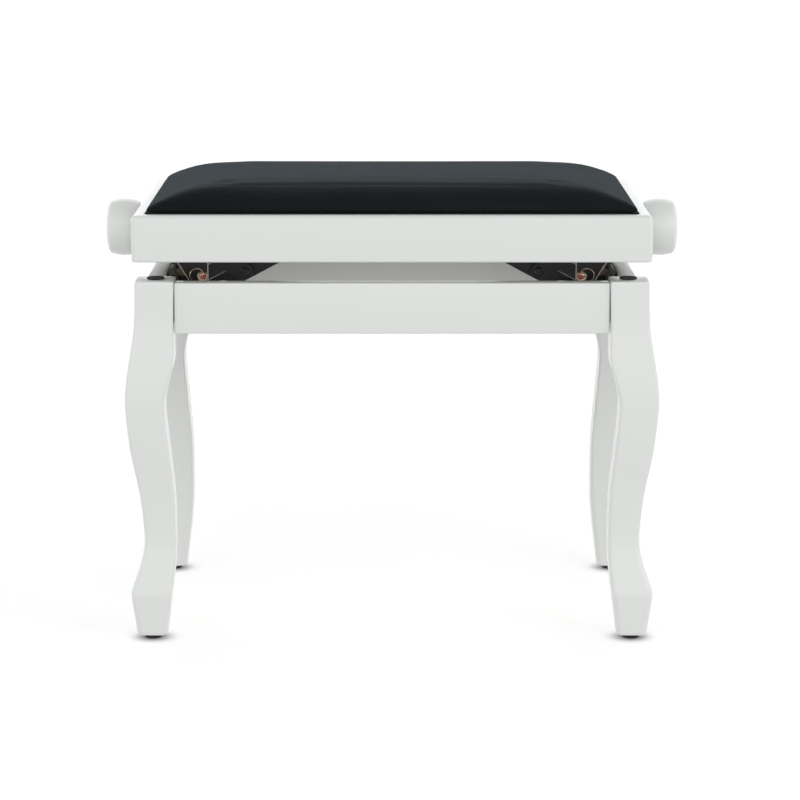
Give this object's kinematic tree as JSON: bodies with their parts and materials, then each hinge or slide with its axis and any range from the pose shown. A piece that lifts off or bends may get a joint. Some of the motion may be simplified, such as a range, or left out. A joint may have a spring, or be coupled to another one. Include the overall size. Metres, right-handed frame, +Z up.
{
  "type": "piano bench",
  "caption": "Height-adjustable piano bench: upholstered velvet seat on a white wooden frame with bowed legs, raised by a screw with a knob at each end and steel lift arms.",
  "frame": {"origin": "on the floor, under the middle of the bench", "axes": "+X right along the width, +Y to the back, +Z up; the front faces -Y"},
  "size_m": [0.634, 0.3526, 0.4926],
  "materials": {
    "white_lacquer": "white satin lacquer on wood",
    "velvet": "short-pile dark navy velvet",
    "bare_wood": "unfinished plywood and beech",
    "black_steel": "black lacquered sheet steel",
    "bare_steel": "oiled bright steel",
    "yellow_zinc": "yellow-passivated zinc plating",
    "black_rubber": "matt black rubber"
  },
  "bodies": {
    "base": {"leg_front_left": "white_lacquer", "leg_front_right": "white_lacquer", "leg_rear_left": "white_lacquer", "leg_rear_right": "white_lacquer", "foot_pad_front_left": "black_rubber", "foot_pad_front_right": "black_rubber", "foot_pad_rear_left": "black_rubber", "foot_pad_rear_right": "black_rubber", "leg_top_bumper_front_left": "black_rubber", "leg_top_bumper_front_right": "black_rubber", "leg_top_bumper_rear_left": "black_rubber", "leg_top_bumper_rear_right": "black_rubber", "leg_bolt_front_left": "bare_steel", "leg_bolt_front_right": "bare_steel", "leg_bolt_rear_left": "bare_steel", "leg_bolt_rear_right": "bare_steel", "apron_front": "white_lacquer", "apron_rear": "white_lacquer", "apron_left": "white_lacquer", "apron_right": "white_lacquer", "corner_brace_front_left": "bare_wood", "corner_brace_front_right": "bare_wood", "corner_brace_rear_left": "bare_wood", "corner_brace_rear_right": "bare_wood", "base_bracket_front_left": "black_steel", "base_bracket_front_right": "black_steel", "base_bracket_rear_left": "black_steel", "base_bracket_rear_right": "black_steel"},
    "seat": {"seat_rail_front": "white_lacquer", "seat_rail_rear": "white_lacquer", "seat_rail_left": "white_lacquer", "seat_rail_right": "white_lacquer", "seat_board": "bare_wood", "cushion": "velvet", "hanger_front_left": "black_steel", "hanger_front_right": "black_steel", "hanger_rear_left": "black_steel", "hanger_rear_right": "black_steel", "hanger_bolt_front_left": "yellow_zinc", "hanger_bolt_front_right": "yellow_zinc", "hanger_bolt_rear_left": "yellow_zinc", "hanger_bolt_rear_right": "yellow_zinc", "bushing_left": "black_steel", "bushing_right": "black_steel"},
    "screw": {"screw": "bare_steel", "knob_left": "white_lacquer", "knob_right": "white_lacquer"},
    "arm_left": {"lift_arm_front_left": "black_steel", "lift_arm_rear_left": "black_steel", "middle_rod_left": "black_steel"},
    "link_left": {"half_link_front_left": "black_steel", "half_link_rear_left": "black_steel"},
    "nut_left": {"nut_crossbar_left": "bare_steel"},
    "arm_right": {"lift_arm_front_right": "black_steel", "lift_arm_rear_right": "black_steel", "middle_rod_right": "black_steel"},
    "link_right": {"half_link_front_right": "black_steel", "half_link_rear_right": "black_steel"},
    "nut_right": {"nut_crossbar_right": "bare_steel"}
  },
  "joints": [
    {"name": "seat_lift", "type": "slide", "parent": "base", "child": "seat", "axis": [0, 0, 1], "range_m": [-0.0175, 0.063]},
    {"name": "screw_turn", "type": "hinge", "parent": "seat", "child": "screw", "pos_m": [0, 0, 0.43], "axis": [1, 0, 0], "range_deg": [-1043.8, 3755]},
    {"name": "arm_left_swing", "type": "hinge", "parent": "base", "child": "arm_left", "pos_m": [-0.231, 0, 0.354], "axis": [0, -1, 0], "range_deg": [-8.3, 29.5]},
    {"name": "link_left_swing", "type": "hinge", "parent": "arm_left", "child": "link_left", "pos_m": [-0.16, 0, 0.392], "axis": [0, 1, 0], "range_deg": [-16.4, 58.8]},
    {"name": "nut_left_swing", "type": "hinge", "parent": "arm_left", "child": "nut_left", "pos_m": [-0.089, 0, 0.43], "axis": [0, 1, 0], "range_deg": [-8.3, 29.5]},
    {"name": "arm_right_swing", "type": "hinge", "parent": "base", "child": "arm_right", "pos_m": [0.231, 0, 0.354], "axis": [0, 1, 0], "range_deg": [-8.3, 29.5]},
    {"name": "link_right_swing", "type": "hinge", "parent": "arm_right", "child": "link_right", "pos_m": [0.16, 0, 0.392], "axis": [0, -1, 0], "range_deg": [-16.4, 58.8]},
    {"name": "nut_right_swing", "type": "hinge", "parent": "arm_right", "child": "nut_right", "pos_m": [0.089, 0, 0.43], "axis": [0, -1, 0], "range_deg": [-8.3, 29.5]}
  ],
  "couplings": [
    {"joint": "screw_turn", "follows": "seat_lift", "rad_per_m": 1040},
    {"joint": "arm_left_swing", "follows": "seat_lift", "rad_per_m": 8.1332},
    {"joint": "link_left_swing", "follows": "seat_lift", "rad_per_m": 16.266},
    {"joint": "nut_left_swing", "follows": "seat_lift", "rad_per_m": 8.1332},
    {"joint": "arm_right_swing", "follows": "seat_lift", "rad_per_m": 8.1332},
    {"joint": "link_right_swing", "follows": "seat_lift", "rad_per_m": 16.266},
    {"joint": "nut_right_swing", "follows": "seat_lift", "rad_per_m": 8.1332}
  ]
}
